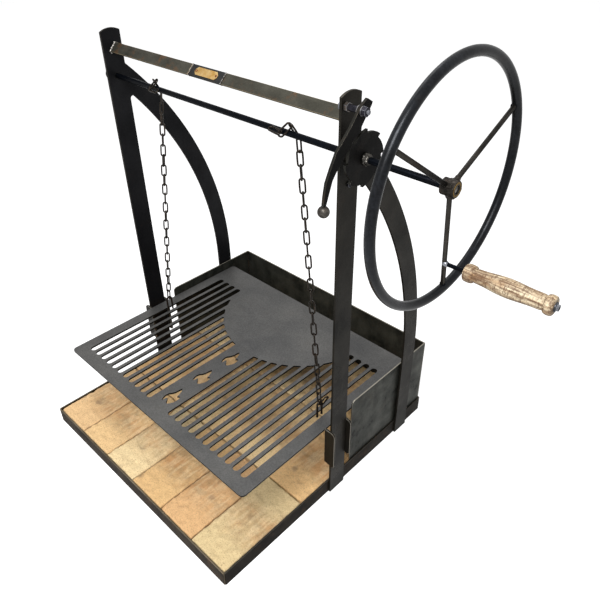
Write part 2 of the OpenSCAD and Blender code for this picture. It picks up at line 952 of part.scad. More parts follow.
// Outline as shares of the lever's span, from the pivot: front edge, heel, back edge
lever_front_shares = [[0.075, 0.103], [0.015, 0.069], [-0.039, 0.027], [-0.084, -0.030],
                      [-0.154, -0.115], [-0.292, -0.250], [-0.352, -0.307], [-0.425, -0.439],
                      [-0.491, -0.572], [-0.518, -0.710], [-0.527, -0.789], [-0.524, -0.830]];
lever_back_shares = [[-0.492, -0.815], [-0.467, -0.752], [-0.449, -0.704], [-0.401, -0.575],
                     [-0.352, -0.509], [-0.298, -0.455], [-0.111, -0.264], [0.003, -0.201],
                     [0.003, -0.153], [0.063, -0.075], [0.142, 0.025], [0.154, 0.055]];
ball_y_share = -0.509;
ball_z_share = -0.864;
ball_y = ball_y_share * lever_span;
ball_z = ball_z_share * lever_span;

module pawl_lever() {
    color([0.4, 0.4, 0.39])
        translate([lever_x, 0, 0])
            rotate([90, 0, 90])
                difference() {
                    linear_extrude(lever_t)
                        difference() {
                            translate([pivot_y, pivot_z])
                                polygon([for (p = concat(lever_front_shares, lever_back_shares))
                                    p * lever_span]);
                            translate([gear_y, shaft_z])
                                circle(tooth_r + lever_gap, $fn = 96);
                        }
                    translate([pivot_y, pivot_z, -overrun])
                        cylinder(h = lever_t + 2 * overrun, d = bolt_d + 2 * run_gap);
                    translate([pivot_y + ball_y, pivot_z + ball_z, lever_t / 2])
                        sphere(ball_d / 2 + run_gap);
                }
}

module pawl_ball() {
    color([0.45, 0.45, 0.45])
        translate([lever_x + lever_t / 2, pivot_y + ball_y, pivot_z + ball_z])
            sphere(d = ball_d);
}

// Grate: slotted plate with a fan of slot ends, flame cut-outs, guide ears and lifting eyes

grate_front = grate_y - grate_d / 2;
grate_rear = grate_y + grate_d / 2;
slot_n = 1 + floor((grate_w / 2 - slot_border - slot_w / 2 - slot_first) / slot_pitch);
slot_y0 = grate_front + slot_front;
slot_y1 = grate_rear - slot_rear;
fan_y = grate_rear - fan_back;
corner_r = 3;
fan_inset = 3.6;

function fan_end(x) = fan_y - sqrt(pow(fan_r, 2) - pow(x, 2));
function slot_x(k) = slot_first + k * slot_pitch;
function is_outer(k) = k >= slot_n - slot_outer_n || slot_x(k) + slot_w / 2 >= fan_r;

module outer_slot(x) {
    r = slot_w / 2;
    for (y = [slot_y0 + r, slot_y1 - r])
        translate([x, y])
            circle(r);
    translate([x - r, slot_y0 + r])
        square([slot_w, slot_y1 - slot_y0 - slot_w]);
}

// The inner slots end on the fan's arc, with their two corners rounded in short steps
module inner_slot(x) {
    r = slot_w / 2;
    corner_steps = 6;
    inside = [x - r + corner_r, fan_end(x - r + corner_r) - fan_inset];
    outside = [x + r - corner_r, fan_end(x + r - corner_r) - fan_inset];
    slope = atan2(outside[1] - inside[1], outside[0] - inside[0]) + 90;
    translate([x, slot_y0 + r])
        circle(r);
    polygon(concat(
        [[x - r, slot_y0 + r], [x + r, slot_y0 + r]],
        [for (i = [0 : corner_steps])
            outside + corner_r * [cos(slope * i / corner_steps), sin(slope * i / corner_steps)]],
        [for (i = [0 : corner_steps])
            let (a = slope + (180 - slope) * i / corner_steps)
                inside + corner_r * [cos(a), sin(a)]]));
}

// A plain flame of three tongues: outline as shares of its length, the long tongue to the rear
flame_shares = [[-0.127, -0.49], [-0.19, -0.42], [-0.245, -0.305], [-0.27, -0.186],
                [-0.25, -0.056], [-0.16, 0.068], [-0.1, 0.203], [-0.093, 0.356],
                [-0.05, 0.51], [0.05, 0.38], [0.12, 0.23], [0.155, 0.075],
                [0.255, 0.15], [0.32, 0.05], [0.34, -0.07], [0.33, -0.195],
                [0.28, -0.32], [0.21, -0.44], [0.11, -0.465], [0.025, -0.34],
                [-0.075, -0.24], [-0.11, -0.34]];

module grate_outline() {
    w = grate_w / 2 - grate_r;
    for (x = [-w, w])
        for (y = [grate_front + grate_r, grate_rear - grate_r])
            translate([x, y])
                circle(grate_r);
    translate([-w, grate_front])
        square([2 * w, grate_d]);
    translate([-grate_w / 2, grate_front + grate_r])
        square([grate_w, grate_d - 2 * grate_r]);
}

module grate_plate() {
    color([0.42, 0.43, 0.44])
        translate([0, 0, grate_top - grate_t])
            linear_extrude(grate_t)
                difference() {
                    grate_outline();
                    for (side = [-1, 1])
                        for (k = [0 : slot_n - 1])
                            mirror([side < 0 ? 1 : 0, 0])
                                if (is_outer(k)) outer_slot(slot_x(k));
                                else inner_slot(slot_x(k));
                    for (i = [0 : 2])
                        translate([0, grate_front + flame_front + i * flame_pitch])
                            polygon([for (p = flame_shares) p * flame_l]);
                }
}

module guide_ear(side, rear) {
    x0 = grate_w / 2;
    x1 = post_x + side_t + ear_reach;
    z0 = grate_top - ear_drop;
    round_r = (x1 - x0) * 0.4;
    y = rear ? gear_y + post_w / 2 + ear_gap : gear_y - post_w / 2 - ear_gap - ear_t;
    color([0.38, 0.36, 0.34])
        translate([0, y + ear_t, 0])
            mirror([side < 0 ? 1 : 0, 0, 0])
                rotate([90, 0, 0])
                    linear_extrude(ear_t)
                        union() {
                            polygon([[x0, z0 + ear_chamfer], [x1 - ear_chamfer, z0],
                                     [x1, z0 + ear_chamfer], [x1, grate_top - round_r],
                                     [x1 - round_r, grate_top - round_r],
                                     [x1 - round_r, grate_top], [x0, grate_top]]);
                            translate([x1 - round_r, grate_top - round_r])
                                intersection() {
                                    circle(round_r);
                                    square([round_r, round_r]);
                                }
                        }
}

module lifting_eye(x, y) {
    bend_z = eye_rod_z - eye_bend_r;
    color([0.3, 0.28, 0.26])
        translate([x, y, 0]) {
            translate([0, 0, bend_z])
                rotate([90, 0, 90])
                    rotate_extrude(angle = 180, $fn = 32)
                        translate([eye_bend_r, 0])
                            circle(eye_d / 2, $fn = 24);
            for (side = [-1, 1])
                translate([0, side * eye_bend_r, grate_top])
                    cylinder(h = bend_z - grate_top, d = eye_d, $fn = 24);
        }
}

rail(0, tray_w, tray_d);  // rail_front
rail(180, tray_w, tray_d);  // rail_rear
rail(-90, tray_d, tray_w);  // rail_left
rail(90, tray_d, tray_w);  // rail_right
tray_bearers();
tray_floor();
brick_row(0);  // brick_row_front
brick_row(1);  // brick_row_middle
brick_row(2);  // brick_row_rear
side_frame_left();
side_frame_right();
crossbar_left();
crossbar_right();
crossbar_splice();
crossbar_seams();
crossbar_end_welds();
badge_plate();
badge_rivets();
fire_side(-1);  // firebox_left_wall
fire_side(1);  // firebox_right_wall
firebox_rear_wall();
firebox_corner_welds();
shaft_boss_left();
shaft_boss_right();
pawl_bolt();
pawl_inner_nut();
pawl_spacer();
pawl_washers();
pawl_lock_nut();
post_bolt();
post_bolt_nut();
winding_shaft();
shaft_collar();
ratchet_wheel();
ratchet_weld();
wheel_hub();
wheel_spokes();
wheel_rim();
crank_pin();
grip_washer();
grip_nut();
grip();
wound_chain(top_left, wound_left);  // chain_wrap_left
wound_chain(top_right, wound_right);  // chain_wrap_right
pawl_lever();
pawl_ball();
grate_plate();
guide_ear(-1, false);  // ear_front_left
guide_ear(1, false);  // ear_front_right
guide_ear(-1, true);  // ear_rear_left
guide_ear(1, true);  // ear_rear_right
lifting_eye(foot_left[0], foot_left[1]);  // lifting_eye_left
lifting_eye(foot_right[0], foot_right[1]);  // lifting_eye_right
hanging_chain(top_left, foot_left);  // chain_left
hanging_chain(top_right, foot_right);  // chain_right
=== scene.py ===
import json
import math
import random

import bpy
from mathutils import Matrix, Vector


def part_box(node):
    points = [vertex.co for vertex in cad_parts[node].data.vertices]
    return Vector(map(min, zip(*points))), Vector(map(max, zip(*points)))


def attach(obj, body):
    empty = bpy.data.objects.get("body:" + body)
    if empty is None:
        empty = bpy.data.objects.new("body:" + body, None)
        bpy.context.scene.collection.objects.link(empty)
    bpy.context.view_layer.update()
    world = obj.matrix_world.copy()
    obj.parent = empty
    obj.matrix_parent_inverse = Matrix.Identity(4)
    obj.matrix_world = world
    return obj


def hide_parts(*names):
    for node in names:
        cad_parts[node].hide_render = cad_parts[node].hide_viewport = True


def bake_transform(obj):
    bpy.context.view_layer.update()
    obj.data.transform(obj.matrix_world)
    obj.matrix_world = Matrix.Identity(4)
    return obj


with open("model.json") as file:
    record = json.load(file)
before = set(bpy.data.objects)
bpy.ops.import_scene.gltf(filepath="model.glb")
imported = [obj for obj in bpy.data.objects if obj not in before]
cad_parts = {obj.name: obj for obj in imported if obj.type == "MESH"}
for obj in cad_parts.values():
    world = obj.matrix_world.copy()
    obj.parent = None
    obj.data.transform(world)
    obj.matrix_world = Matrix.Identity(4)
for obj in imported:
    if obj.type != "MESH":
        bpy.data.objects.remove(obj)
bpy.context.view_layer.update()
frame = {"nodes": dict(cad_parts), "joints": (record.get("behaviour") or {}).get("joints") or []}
nodes = frame["nodes"]
chance = random.Random(11)
MM = 0.001


# Places read off the frame

def middle(node):
    """The middle of a node's box"""
    low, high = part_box(node)
    return (low + high) / 2


def span(node):
    """The size of a node's box"""
    low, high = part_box(node)
    return high - low


# Bench work: picking, shaping and finishing

def only(piece):
    """Selects one piece and makes it the active one"""
    bpy.ops.object.select_all(action="DESELECT")
    piece.select_set(True)
    bpy.context.view_layer.objects.active = piece


def start(add, name, **size):
    """A new named piece from one of the plain shapes"""
    bpy.ops.object.select_all(action="DESELECT")
    add(**size)
    piece = bpy.context.object
    piece.name = name
    return piece


def pick(piece, kind, test):
    """Opens the piece with only the points, edges or faces that pass the test"""
    only(piece)
    bpy.context.tool_settings.mesh_select_mode = (kind == "points", kind == "edges", kind == "faces")
    mesh = piece.data
    for group in (mesh.vertices, mesh.edges, mesh.polygons):
        group.foreach_set("select", [False] * len(group))
    if kind == "points":
        for point in mesh.vertices:
            point.select = test(point.co)
    elif kind == "edges":
        for edge in mesh.edges:
            a, b = (mesh.vertices[i].co for i in edge.vertices)
            edge.select = test(a, b)
    else:
        for face in mesh.polygons:
            face.select = test(face.center, face.normal)
    bpy.ops.object.mode_set(mode="EDIT")


def close():
    """Closes the piece that pick opened"""
    bpy.ops.object.mode_set(mode="OBJECT")


def settle(piece):
    """Puts the piece's place and turn into its mesh"""
    only(piece)
    bpy.ops.object.transform_apply(location=True, rotation=True, scale=True)
    return piece


def machine(piece, kind, **settings):
    """Adds one modifier and applies it"""
    only(piece)
    step = piece.modifiers.new(kind, kind)
    for key, value in settings.items():
        setattr(step, key, value)
    bpy.ops.object.modifier_apply(modifier=step.name)
    return piece


def weld_up(pieces, name):
    """Joins the pieces into the first one"""
    bpy.ops.object.select_all(action="DESELECT")
    for piece in pieces:
        piece.select_set(True)
    bpy.context.view_layer.objects.active = pieces[0]
    bpy.ops.object.join()
    piece = bpy.context.object
    piece.name = name
    return piece


def another(piece, name):
    """A copy with its own mesh"""
    copy = piece.copy()
    copy.data = piece.data.copy()
    copy.name = name
    bpy.context.scene.collection.objects.link(copy)
    return copy


def smooth(piece, angle=40):
    """Shades the piece smooth, but for edges sharper than the angle"""
    only(piece)
    bpy.ops.object.shade_smooth_by_angle(angle=math.radians(angle))
    return piece


def coat(piece, *finishes):
    """Gives the piece these finishes and no others"""
    piece.data.materials.clear()
    for finish in finishes:
        piece.data.materials.append(finish)


def fit(piece, body, finish, *stands_for):
    """Fits a finished piece to its body, in place of the frame's nodes that it stands for"""
    if finish:
        coat(piece, finish)
    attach(piece, body)
    if stands_for:
        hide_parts(*stands_for)
    return piece


def turned(name, stations, bore):
    """Turned on the lathe: a ring drawn out through (reach, radius) stations and bridged through its bore"""
    reach, radius = stations[0][0], bore
    piece = start(bpy.ops.mesh.primitive_circle_add, name, vertices=56, radius=bore, location=(0, 0, reach))
    settle(piece)
    pick(piece, "points", lambda co: True)
    for next_reach, next_radius in stations + [(stations[-1][0], bore)]:
        bpy.ops.mesh.extrude_region_move(TRANSFORM_OT_translate={"value": (0, 0, next_reach - reach)})
        grow = next_radius / radius
        bpy.ops.transform.resize(value=(grow, grow, 1), center_override=(0, 0, next_reach))
        reach, radius = next_reach, next_radius
    bpy.ops.mesh.select_all(action="DESELECT")
    bpy.ops.mesh.select_non_manifold()
    bpy.ops.mesh.bridge_edge_loops()
    bpy.ops.mesh.select_all(action="SELECT")
    bpy.ops.mesh.normals_make_consistent(inside=False)
    close()
    return piece


def rod(name, foot, tip, radius, body, finish, *stands_for):
    """A round bar from one point to another, its ends chamfered"""
    run = tip - foot
    chamfer = 0.5 * MM
    bar = start(bpy.ops.mesh.primitive_cylinder_add, name, vertices=36, radius=radius, depth=run.length,
                location=(foot + tip) / 2, rotation=run.to_track_quat("Z", "Y").to_euler())
    settle(bar)
    along = run.normalized()
    pick(bar, "edges", lambda a, b: abs((a - b).dot(along)) < MM / 100)
    bpy.ops.mesh.bevel(offset=chamfer, segments=2, affect="EDGES")
    close()
    return fit(smooth(bar), body, finish, *stands_for)


def opened_copy(node, ending):
    """A working copy of one of the frame's own shapes, open with its points merged and picked"""
    piece = bpy.data.objects.new(node + ending, nodes[node].data.copy())
    bpy.context.scene.collection.objects.link(piece)
    pick(piece, "points", lambda co: True)
    bpy.ops.mesh.remove_doubles(threshold=0.00002)
    return piece


def cast(node):
    """A working copy whose flat faces are whole again"""
    piece = opened_copy(node, "_piece")
    bpy.ops.mesh.dissolve_limited(angle_limit=math.radians(0.5))
    close()
    return piece


def break_arrises(piece, width, angle):
    """Eases the arrises sharper than the angle and rubs them, in the piece's second finish"""
    machine(piece, "BEVEL", width=width, segments=2, limit_method="ANGLE",
            angle_limit=math.radians(angle), material=1, use_clamp_overlap=True)
    machine(smooth(piece, angle), "WEIGHTED_NORMAL", keep_sharp=True)


def eased(node, body, width, finish, worn, bare=None, bare_finish=None):
    """A sawn or cut steel piece: arrises eased and rubbed, and the faces that pass the test left bare"""
    piece = cast(node)
    coat(piece, finish, worn, bare_finish or worn)
    for face in piece.data.polygons:
        face.material_index = 2 if bare and bare(face.center, face.normal) else 0
    break_arrises(piece, width, 32)
    return fit(piece, body, None, node)


weld_lumps = bpy.data.textures.new("weld_lumps", "CLOUDS")
weld_lumps.noise_scale = 0.0045
weld_lumps.noise_depth = 2


def lumpy(piece, cell, swell):
    """Runs a weld together: one skin with soft lumps"""
    machine(piece, "REMESH", mode="VOXEL", voxel_size=cell)
    machine(piece, "DISPLACE", texture=weld_lumps, texture_coords="LOCAL", strength=swell, mid_level=0.55)
    return smooth(piece, 180)


def welded(node, body, cell, swell, finish):
    """One of the frame's own welds, with a lumpy skin"""
    piece = opened_copy(node, "_weld")
    close()
    return fit(lumpy(piece, cell, swell), body, finish, node)


def bead(name, spots, size, body, finish, *stands_for):
    """A weld bead: blobs laid along a seam and run together"""
    blobs = []
    for spot in spots:
        blob = start(bpy.ops.mesh.primitive_ico_sphere_add, name, subdivisions=2,
                     radius=size * chance.uniform(0.8, 1.2), location=spot)
        blob.scale = [chance.uniform(0.8, 1.1) for _ in range(3)]
        blobs.append(settle(blob))
    return fit(lumpy(weld_up(blobs, name), size * 0.3, size * 0.35), body, finish, *stands_for)


# Finishes

def paint(code):
    """A colour written as six hex digits, as the shader wants it"""
    def level(two):
        c = int(two, 16) / 255
        return c / 12.92 if c <= 0.04045 else ((c + 0.055) / 1.055) ** 2.4
    return (level(code[0:2]), level(code[2:4]), level(code[4:6]), 1)


def new_finish(name, metal, rough, specular, tint=1.0):
    """A new material, with its node tree, its shader and the place on the object"""
    finish = bpy.data.materials.new(name)
    finish.use_nodes = True
    tree = finish.node_tree
    shader = tree.nodes["Principled BSDF"]
    shader.inputs["Metallic"].default_value = metal
    shader.inputs["Roughness"].default_value = rough
    shader.inputs["Specular IOR Level"].default_value = specular
    shader.inputs["Specular Tint"].default_value = (tint, tint, tint, 1)
    place = tree.nodes.new("ShaderNodeTexCoord").outputs["Object"]
    return finish, tree, shader, place


even = (1, 1, 1)


def plug(tree, kind, wires, **settings):
    """A new node, its sockets wired or set"""
    made = tree.nodes.new("ShaderNode" + kind)
    for key, value in settings.items():
        setattr(made, key, value)
    for socket, value in wires.items():
        if isinstance(value, bpy.types.NodeSocket):
            tree.links.new(value, made.inputs[socket])
        else:
            made.inputs[socket].default_value = value
    return made


def grain(tree, place, scale, detail=4, stretch=even, rough=0.55):
    """Noise, stretched where it is drawn out one way"""
    if stretch != even:
        place = plug(tree, "Mapping", {"Vector": place, "Scale": stretch}).outputs[0]
    return plug(tree, "TexNoise", {"Vector": place, "Scale": scale, "Detail": detail,
                                   "Roughness": rough}).outputs["Fac"]


def shades(tree, amount, *stops):
    """Turns an amount into a shade through (amount, shade) stops"""
    ramp = plug(tree, "ValToRGB", {"Fac": amount})
    band = ramp.color_ramp
    while len(band.elements) < len(stops):
        band.elements.new(0.5)
    for element, (at, colour) in zip(band.elements, stops):
        element.position = at
        element.color = colour if isinstance(colour, tuple) else (colour, colour, colour, 1)
    return ramp.outputs["Color"]


def blend(tree, amount, a, b, way="MIX"):
    """Lays colour b over colour a by an amount"""
    return plug(tree, "Mix", {0: amount, 6: a, 7: b}, data_type="RGBA", blend_type=way).outputs[2]


def reckon(tree, how, *terms):
    """One sum in the shader"""
    return plug(tree, "Math", dict(enumerate(terms)), operation=how).outputs[0]


def along_y(tree, place):
    """How far back a place is"""
    return plug(tree, "SeparateXYZ", {0: place}).outputs["Y"]


def relief(tree, shader, height, strength, depth):
    """Fine relief, too shallow to be modelled"""
    normal = plug(tree, "Bump", {"Height": height, "Strength": strength, "Distance": depth})
    tree.links.new(normal.outputs[0], shader.inputs["Normal"])


def rolled_steel(name, dark, light, rust, rust_share=0.25, metal=0.7, rough=(0.36, 0.6),
                 patch=9, draw=(1, 1, 0.12), depth=0.0002, scratch=0.22, shine=(0.3, 0.4),
                 mottle=(620, 0.7)):
    """Mill-scale steel: cloudy scale, drawn scratches, fine grain and a breath of rust

    dark, light and rust are colours, patch the clouds' scale, draw the way the scratches run, and depth and
    scratch how deep and how bright they are. The pairs: rough is the smoothest and the roughest, shine the
    specular level and its tint, and mottle the fine grain's scale and its darkest share.
    """
    finish, tree, shader, place = new_finish(name, metal, 0.5, *shine)
    grain_scale, grain_dark = mottle
    smoothest, roughest = rough
    cloud = grain(tree, place, patch, detail=6, rough=0.62)
    streak = grain(tree, place, scale=90, detail=5, stretch=draw, rough=0.7)
    fine = grain(tree, place, grain_scale, detail=3)
    base = shades(tree, cloud, (0.3, paint(dark)), (0.7, paint(light)))
    drawn = shades(tree, streak, (0.52, 0.0), (0.75, scratch))
    base = blend(tree, drawn, base, paint(light), "SCREEN")
    spots = grain(tree, place, scale=26, detail=8, rough=0.7)
    base = blend(tree, shades(tree, spots, (0.54, 0.0), (0.72, rust_share)), base, paint(rust))
    speck = shades(tree, fine, (0.34, grain_dark), (0.66, 1.0))
    base = blend(tree, 1.0, base, speck, "MULTIPLY")
    tree.links.new(base, shader.inputs["Base Color"])
    gloss = reckon(tree, "ADD", reckon(tree, "MULTIPLY", cloud, 0.6), reckon(tree, "MULTIPLY", fine, 0.4))
    tree.links.new(shades(tree, gloss, (0.3, roughest), (0.7, smoothest)), shader.inputs["Roughness"])
    height = reckon(tree, "ADD", reckon(tree, "MULTIPLY", cloud, 0.5), reckon(tree, "MULTIPLY", fine, 0.3))
    relief(tree, shader, reckon(tree, "ADD", height, reckon(tree, "MULTIPLY", streak, 0.25)), 0.5, depth)
    return finish


post_steel = rolled_steel("post_steel", "11100d", "2a2721", "35271c", rust_share=0.2, metal=0.5)
# A darker, bluer copy of post_steel for the left post: painted shade for the post that stands in shadow
shaded_post_steel = rolled_steel("shaded_post_steel", "0b0b0d", "1e1e20", "241c16", rust_share=0.2, metal=0.5)
post_edge = rolled_steel("post_edge", "2b2925", "4c4841", "6a4c33", rust_share=0.3, metal=0.75,
                         rough=(0.3, 0.5))
rail_steel = rolled_steel("rail_steel", "17120b", "3d301e", "6d5136", rust_share=0.5, metal=0.4,
                          rough=(0.46, 0.64), patch=24, draw=(1, 1, 0.16), shine=(0.1, 0.25))
# A darker copy of the rail steel, with more rust, for the rails under the firebox walls: painted shade
shaded_rail_steel = rolled_steel("shaded_rail_steel", "0c0a08", "2b241b", "54412f", rust_share=0.6, metal=0.4,
                          rough=(0.46, 0.62), patch=24, draw=(1, 1, 0.4), shine=(0.1, 0.25))
rail_edge = rolled_steel("rail_edge", "4e4637", "827765", "7d5b3c", rust_share=0.3, metal=0.7,
                         rough=(0.3, 0.5))
fire_sheet = rolled_steel("fire_sheet", "171916", "484943", "4a3a2b", rust_share=0.25, metal=0.5,
                          rough=(0.3, 0.58), patch=22, scratch=0.3)
fire_edge = rolled_steel("fire_edge", "7a756b", "a9a498", "8a7458", rust_share=0.2, metal=0.75,
                         rough=(0.28, 0.45))
grate_steel = rolled_steel("grate_steel", "515151", "666563", "54483c", rust_share=0.12, metal=0.5,
                           rough=(0.4, 0.58), patch=7, draw=(0.15, 1, 1), depth=0.0001, scratch=0.12,
                           mottle=(330, 0.68))
grate_wall = rolled_steel("grate_wall", "080808", "141312", "140f0a", rust_share=0.2, metal=0.3)
grate_edge = rolled_steel("grate_edge", "5a5b5b", "858683", "7c6a58", rust_share=0.1, metal=0.7,
                          rough=(0.3, 0.45))
drawn_steel = rolled_steel("drawn_steel", "06080b", "12151c", "3f3023", rust_share=0.12, metal=0.5,
                           rough=(0.32, 0.46), patch=16, draw=(0.1, 1, 1), shine=(0.12, 0.25),
                           mottle=(300, 0.6))
rim_steel = rolled_steel("rim_steel", "0d0e10", "24262a", "3c3025", rust_share=0.15, metal=0.35,
                         rough=(0.22, 0.38), patch=16, draw=even, scratch=0.3, shine=(0.27, 0.5),
                         mottle=(260, 0.5))
bar_steel = rolled_steel("bar_steel", "33322c", "55534a", "7a5230", rust_share=0.62, metal=0.65,
                         rough=(0.4, 0.6), patch=12, draw=(0.1, 1, 1))
bar_edge = rolled_steel("bar_edge", "6b6150", "8f826a", "93714c", rust_share=0.5, metal=0.7,
                        rough=(0.3, 0.5))
splice_steel = rolled_steel("splice_steel", "1e1f20", "3b3c3c", "4f3825", rust_share=0.35)
ratchet_steel = rolled_steel("ratchet_steel", "0c0c0b", "1d1c1b", "3a2a1e", rust_share=0.12, metal=0.5,
                             rough=(0.4, 0.6), patch=24, shine=(0.18, 0.3))
ratchet_edge = rolled_steel("ratchet_edge", "2b2a29", "62615e", "9a5a2a", rust_share=0.25, metal=0.75,
                            rough=(0.26, 0.42))
weld_metal = rolled_steel("weld_metal", "242321", "625f5a", "6a5138", rust_share=0.2, metal=0.85,
                          rough=(0.16, 0.38), patch=150, draw=even, depth=0.0006)
bright_weld = rolled_steel("bright_weld", "33312f", "a19d97", "7a6b58", rust_share=0.2, metal=0.7,
                           rough=(0.22, 0.4), patch=160, draw=even, depth=0.0006)
zinc_steel = rolled_steel("zinc_steel", "5a5c62", "a3a6ad", "84684a", rust_share=0.25, metal=0.8,
                          rough=(0.25, 0.42), patch=60, draw=even)
dark_fastener = rolled_steel("dark_fastener", "16161a", "37363e", "54402f", rust_share=0.3, metal=0.7,
                             rough=(0.28, 0.45), patch=60, draw=even)
chain_steel = rolled_steel("chain_steel", "0b0907", "2e261d", "5a3d28", rust_share=0.35, metal=0.6,
                           rough=(0.14, 0.3), patch=110, draw=even, shine=(0.6, 0.5))
ball_steel = rolled_steel("ball_steel", "2b2926", "5b5752", "7a6350", rust_share=0.35, metal=0.7,
                          rough=(0.34, 0.5), patch=90, draw=even)
lever_steel = rolled_steel("lever_steel", "0a0a09", "191817", "1a1410", rust_share=0.2, metal=0.5,
                           rough=(0.46, 0.66), shine=(0.2, 0.3))
ear_edge = rolled_steel("ear_edge", "7f7a70", "b5b0a5", "6a4c33", rust_share=0.2, metal=0.75,
                        rough=(0.26, 0.42))
nut_steel = rolled_steel("nut_steel", "3d3835", "7c746d", "6a4c33", rust_share=0.25, metal=0.75,
                         rough=(0.24, 0.4), patch=60, draw=even)
hub_metal = rolled_steel("hub_metal", "12110f", "403b36", "6e4624", rust_share=0.35, metal=0.6,
                         rough=(0.24, 0.45), patch=90, draw=even, depth=0.0004)
spoke_steel = rolled_steel("spoke_steel", "1f1e1c", "474440", "4a3a2c", rust_share=0.2, metal=0.8,
                           rough=(0.26, 0.42), patch=16, draw=(1, 1, 0.1), shine=(0.3, 0.3))
copper = rolled_steel("copper", "5e3a26", "8e6242", "4a2c1c", rust_share=0.3, metal=0.7, rough=(0.3, 0.5),
                      patch=60, draw=even)
lever_edge = rolled_steel("lever_edge", "191917", "34332f", "5a4634", rust_share=0.2, metal=0.7,
                          rough=(0.3, 0.5))
gilt_rust = rolled_steel("gilt_rust", "4e3c22", "8f7440", "7a4a20", rust_share=0.5, metal=0.6,
                         rough=(0.3, 0.5), patch=150, draw=even)
brass = rolled_steel("brass", "c79a52", "efd29a", "8c6a38", rust_share=0.15, metal=0.85, rough=(0.2, 0.34),
                     patch=40, draw=(0.2, 1, 1), depth=0.0001)


def firebrick_finish():
    """Buff firebrick: each brick's tone, a band with the grate's painted shadow, partly brown smudge, and pale
    streaks of painted light from its slots, knots, grit, darker brown towards the back, dusty joints
    """
    row_front, row_length = 0.3544, 0.2365
    finish, tree, shader, place = new_finish("firebrick", 0, 0.92, 0.15)
    tone = plug(tree, "Attribute", {}, attribute_name="brick_tone").outputs["Fac"]
    spread = plug(tree, "CombineXYZ", {"X": reckon(tree, "MULTIPLY", tone, 3.1),
                                       "Y": reckon(tree, "MULTIPLY", tone, 1.7), "Z": tone}).outputs[0]
    spot = plug(tree, "VectorMath", {0: place, 1: spread}, operation="ADD").outputs[0]
    cloud = grain(tree, spot, scale=10, detail=5, rough=0.6)
    smudge = grain(tree, spot, scale=19, detail=6, stretch=(1, 1.4, 1), rough=0.72)
    drift = plug(tree, "TexNoise", {"Vector": spot, "Scale": 40.0}).outputs["Color"]
    drift = plug(tree, "VectorMath", {0: drift, "Scale": 0.02}, operation="SCALE").outputs[0]
    drifted = plug(tree, "VectorMath", {0: spot, 1: drift}, operation="ADD").outputs[0]
    knots = plug(tree, "TexVoronoi", {"Vector": drifted, "Scale": 13.0}).outputs["Distance"]
    # Fine streaks along the bricks, for the painted light that falls through the grate's slots
    slot_light_streaks = grain(tree, spot, scale=125, detail=1, stretch=(1, 0.13, 1), rough=0.3)
    share = reckon(tree, "DIVIDE", reckon(tree, "ADD", along_y(tree, place), row_front), row_length)
    # A band across the middle of each brick's length, where the grate's painted shadow and slot light are laid
    painted_grate_shade_band = shades(tree, reckon(tree, "FRACT", share), (0.2, 0.0), (0.4, 1.0), (0.62, 1.0), (0.8, 0.15))
    grit = grain(tree, spot, scale=300, detail=5, rough=0.8)
    pits = plug(tree, "TexVoronoi", {"Vector": spot, "Scale": 170.0}).outputs["Distance"]
    base = shades(tree, tone, (0.0, paint("e6c190")), (0.2, paint("e9c591")), (0.4, paint("ebd3a4")),
                  (0.6, paint("deb883")), (0.8, paint("dcb281")), (1.0, paint("d8c294")))
    # The grate's painted shadow, partly brown smudge, darkens the band
    patch = reckon(tree, "MULTIPLY", painted_grate_shade_band, shades(tree, cloud, (0.32, 0.25), (0.56, 0.78)))
    base = blend(tree, patch, base, shades(tree, smudge, (0.42, paint("ab7d52")), (0.66, paint("93805f"))))
    # Pale streaks of painted light from the grate's slots, in the band
    painted_slot_light = reckon(tree, "MULTIPLY", painted_grate_shade_band, shades(tree, slot_light_streaks, (0.42, 0.0), (0.62, 0.28)))
    base = blend(tree, painted_slot_light, base, paint("f3ddb4"))
    base = blend(tree, shades(tree, knots, (0.07, 0.55), (0.15, 0.0)), base, paint("85705a"))
    base = blend(tree, shades(tree, smudge, (0.56, 0.0), (0.74, 0.6)), base, paint("9a7a5c"))
    base = blend(tree, shades(tree, grit, (0.37, 0.5), (0.52, 0.0)), base, paint("967350"))
    base = blend(tree, shades(tree, pits, (0.05, 0.7), (0.2, 0.0)), base, paint("6e5a48"))
    # Darker brown towards the back of the tray
    depth = reckon(tree, "MULTIPLY_ADD", along_y(tree, place), 1.6, 0.5)
    rear_darkening = reckon(tree, "MULTIPLY", shades(tree, depth, (0.44, 0.0), (0.8, 0.5)),
                    shades(tree, smudge, (0.42, 0.1), (0.6, 1.0)))
    base = blend(tree, rear_darkening, base, paint("76502f"))
    dust = plug(tree, "Attribute", {}, attribute_name="joint_dust").outputs["Fac"]
    dust = reckon(tree, "MULTIPLY", shades(tree, dust, (0.45, 0.0), (0.95, 0.85)),
                  shades(tree, grit, (0.3, 1.0), (0.7, 0.5)))
    base = blend(tree, dust, base, paint("4f3b29"))
    tree.links.new(base, shader.inputs["Base Color"])
    height = reckon(tree, "ADD", reckon(tree, "MULTIPLY", grit, 0.6), reckon(tree, "MULTIPLY", smudge, 0.8))
    relief(tree, shader, height, 0.6, 0.0007)
    return finish


